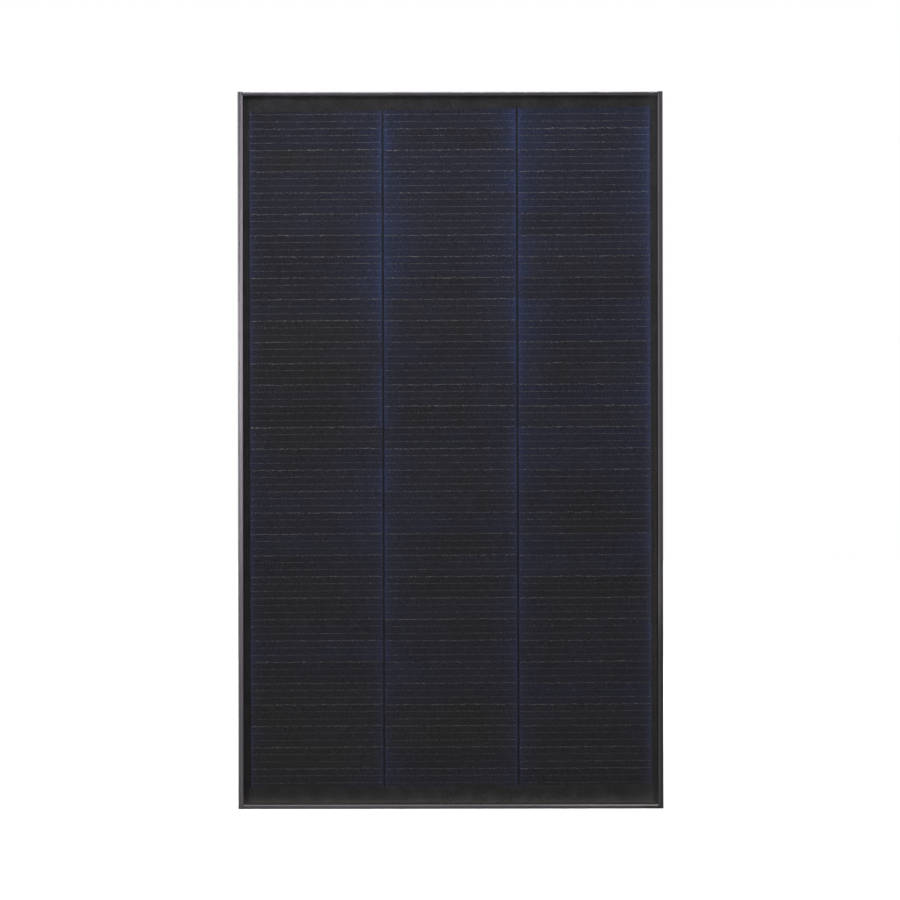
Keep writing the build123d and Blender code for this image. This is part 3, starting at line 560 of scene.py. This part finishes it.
paint(anodised_rail("anodised_upright", 2), "left_rail", "right_rail")
paint(anodised_rail("anodised_end", 0, ledge_dust=True), "top_rail", "bottom_rail")
paint(silicon_cell(), *[f"cell_string_{name}" for name in STRING_NAMES])
silver = silver_paste()
paint(silver, *[f"cell_adhesive_{name}" for name in STRING_NAMES])
paint(film, "rear_film")
paint(tape, "top_cover_strip", "bottom_cover_strip", "lead_insulation")
paint(black_backsheet(), "backsheet")
paint(label_film(), "rating_label")
paint(rubber, "edge_sealant", "junction_box_pad", "lid_gasket",
      "gland_seal_left", "gland_seal_right")
paint(tinned, "top_bus_ribbon", "bottom_bus_ribbon", "top_string_tabs", "bottom_string_tabs",
      "positive_lead", "negative_lead", "diode_leads")
paint(brass, "positive_terminal", "negative_terminal", "cable_clamps")
paint(moulded_plastic("diode_epoxy", (0.012, 0.012, 0.013), (0.02, 0.02, 0.02), 0.3),
      "bypass_diode")
paint(plastic, "junction_box_base", "junction_box_lid")
paint(steel, "terminal_screws")
for side in ("left", "right"):
    paint(plastic, f"gland_body_{side}", f"gland_nut_{side}", f"gland_locknut_{side}")
    for end in ("top", "bottom"):
        paint(steel, f"corner_screws_{end}_{side}")


# ---- meshes made here ----
def link_object(name, data):
    made = bpy.data.objects.new(name, data)
    bpy.context.scene.collection.objects.link(made)
    return made


def mesh_object(name, shape, material):
    """Turn the bmesh into an object of this name and material."""
    mesh = bpy.data.meshes.new(name)
    shape.to_mesh(mesh)
    shape.free()
    mesh.materials.append(material)
    return link_object(name, mesh)


def new_piece(name, shape, material, body):
    piece = mesh_object(name, shape, material)
    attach(piece, body)
    return piece


def make_pane():
    """The glass, with ground edges; it also stands for the clear film between glass and cells."""
    ground_edge = 0.5 * MM
    low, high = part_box("front_glass")
    _, film_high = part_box("front_film")
    high = Vector((high.x, film_high.y, high.z))
    size = high - low
    middle = (low + high) / 2
    shape = bmesh.new()
    bmesh.ops.create_cube(shape, size=1.0)
    for vertex in shape.verts:
        vertex.co = Vector(c * length + m for c, length, m in zip(vertex.co, size, middle))
    bmesh.ops.bevel(shape, geom=shape.edges[:], offset=ground_edge, segments=2,
                    affect="EDGES", profile=0.5)
    pane = new_piece("glass_pane", shape, pane_glass(), PANEL_BODY)
    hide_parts("front_glass", "front_film")


class LayUp:
    """Turns a place on a strip of cell into a place in the panel's frame."""

    def __init__(self):
        self.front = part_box("cell_string_middle")[0].y
        self.string_up = Vector((-math.sin(STRING_LEAN), 0, math.cos(STRING_LEAN)))
        self.string_right = Vector((math.cos(STRING_LEAN), 0, math.sin(STRING_LEAN)))
        self.strip_up = Vector((-math.sin(STRIP_TURN), 0, math.cos(STRIP_TURN)))
        self.strip_right = Vector((math.cos(STRIP_TURN), 0, math.sin(STRIP_TURN)))

    def point(self, column, row, across, down, lift):
        """across from the string's middle, down from the strip's top edge, lift off its face."""
        middle = column * STRING_PITCH * self.string_right
        middle += (STRIP_TOP - row * STRIP_PITCH) * self.string_up
        in_strip = across * self.strip_right - down * self.strip_up
        depth = Vector((0, self.front + down * STRIP_SLOPE - lift, 0))
        return middle + in_strip + depth


def add_ridge(shape, lay_up, column, row, down, start, end, height, lift):
    """A low three-sided ridge across a strip, from start to end, with blunt ends."""
    profile = ((-height / 2, DASH_FOOT), (0.0, lift), (height / 2, DASH_FOOT))
    here, there = [
        [shape.verts.new(lay_up.point(column, row, across, down + offset, rise))
         for offset, rise in profile]
        for across in (start, end)
    ]
    for a, b in ((0, 1), (1, 2), (2, 0)):
        shape.faces.new((here[a], here[b], there[b], there[a]))
    shape.faces.new(here[::-1])
    shape.faces.new(there)


def add_dashes(shape, lay_up, rng, column, row, down, length, gap, height, wander, lift):
    """A line of dashes across a strip; each of the four sizes is a low and a high limit."""
    half = STRIP_WIDTH / 2 - LINE_MARGIN
    start = -half
    line_share = rng.uniform(*LINE_SHARE)
    while start < half:
        end = min(start + rng.uniform(*length), half)
        place = down + rng.uniform(*wander)
        dash_height = rng.uniform(*height) * line_share
        add_ridge(shape, lay_up, column, row, place, start, end, dash_height, lift)
        start = end + rng.uniform(*gap)


def make_grid(name, column):
    """Two printed lines on each strip, and the glue that shows along its upper edge."""
    rng = random.Random(GRID_SEED + column)
    lay_up = LayUp()
    shape = bmesh.new()
    for row in range(STRIP_COUNT):
        for share in PRINTED_SHARES:
            add_dashes(shape, lay_up, rng, column, row, share * STRIP_PITCH, **PRINTED_DASHES)
        if row > 0:
            add_dashes(shape, lay_up, rng, column, row, 0.0, **GLUE_DASHES)
    new_piece(f"printed_grid_{name}", shape, silver, PANEL_BODY)


make_pane()
for column, name in zip((-1, 0, 1), STRING_NAMES):
    make_grid(name, column)


# ---- floor, light and camera ----
# softboxes: name, place, the point they face, width and height, power in watts, tint
SOFTBOXES = (
    ("key", (-0.57, -2.93, 0.20), ORIGIN, (0.4, 0.4), 12.0, WHITE),
    ("high_front", (-0.25, -1.25, 1.25), (0.0, 0.0, 0.3), (0.6, 0.5), 9.5, (0.84, 0.88, 1.0)),
    ("left_side", (-8.5, -5.2, 1.2), ORIGIN, (3.0, 4.0), 700.0, WHITE),
    ("right_rim", (7.0, -1.1, 1.0), ORIGIN, (1.6, 1.6), 60.0, WHITE),
    ("back_fill", (1.2, 2.2, 1.4), (0.0, 0.0, 0.1), (1.2, 1.2), 30.0, WHITE),
)


def make_floor():
    half_size = 9.0
    drop = 0.5 * MM
    shape = bmesh.new()
    bmesh.ops.create_grid(shape, x_segments=8, y_segments=8, size=half_size)
    for vertex in shape.verts:
        vertex.co.z = cad_low.z - drop
    mesh_object("floor", shape, pale_floor())


def make_world():
    """White to the camera. To everything else it is a dimmer studio, darkest in front of the
    glass, where the photographer stands, and a little brighter at the left than at the right."""
    world = bpy.data.worlds.new("studio")
    bpy.context.scene.world = world
    s = Shading(world, "Generated")
    x, y, _ = s.split(s.place)
    cap = s.ramp(y, -0.97, -0.6, 0.08, 0.5)
    side = s.ramp(x, -1.0, 1.0, 1.25, 0.9, smooth=False)
    strength = s.node("ShaderNodeMix")
    s.put(s.node("ShaderNodeLightPath").outputs["Is Camera Ray"], strength.inputs["Factor"])
    s.put(s.product(cap, side), strength.inputs["A"])
    s.put(1.0, strength.inputs["B"])
    background = s.node("ShaderNodeBackground")
    background.inputs["Color"].default_value = colour(WHITE)
    s.put(strength.outputs["Result"], background.inputs["Strength"])
    s.finish(background.outputs[0], "ShaderNodeOutputWorld")


def make_softbox(name, place, aim, size, power, tint):
    light = bpy.data.lights.new(name, "AREA")
    light.color = tint
    light.shape = "RECTANGLE"
    light.size, light.size_y = size
    light.energy = power
    softbox = link_object(name, light)
    softbox.location = place
    facing = Vector(aim) - Vector(place)
    softbox.rotation_euler = facing.to_track_quat("-Z", "Y").to_euler()


def make_sun(name, lean_deg, spread_deg, strength):
    """A soft sun overhead, leaning towards the front, so that shadows fall behind the panel."""
    light = bpy.data.lights.new(name, "SUN")
    light.energy = strength
    light.angle = math.radians(spread_deg)
    link_object(name, light).rotation_euler = (math.radians(lean_deg), 0, 0)


def make_camera():
    """A long lens straight in front of the panel, which shows view_width of its front plane."""
    distance = 4.0
    view_width = 1.0792
    left_of_middle = 0.6 * MM
    roll = math.radians(0.075)
    lens = bpy.data.cameras.new("camera")
    lens.lens = lens.sensor_width * distance / view_width
    lens.clip_end = 60.0
    camera = link_object("camera", lens)
    camera.location = (-left_of_middle, cad_low.y - distance, 0.0)
    camera.rotation_euler = (math.radians(90), roll, 0)
    bpy.context.scene.camera = camera


make_floor()
make_world()
for softbox in SOFTBOXES:
    make_softbox(*softbox)
make_sun("overhead", lean_deg=40.0, spread_deg=10.0, strength=3.6)
make_camera()
bpy.context.scene.view_settings.view_transform = "Standard"
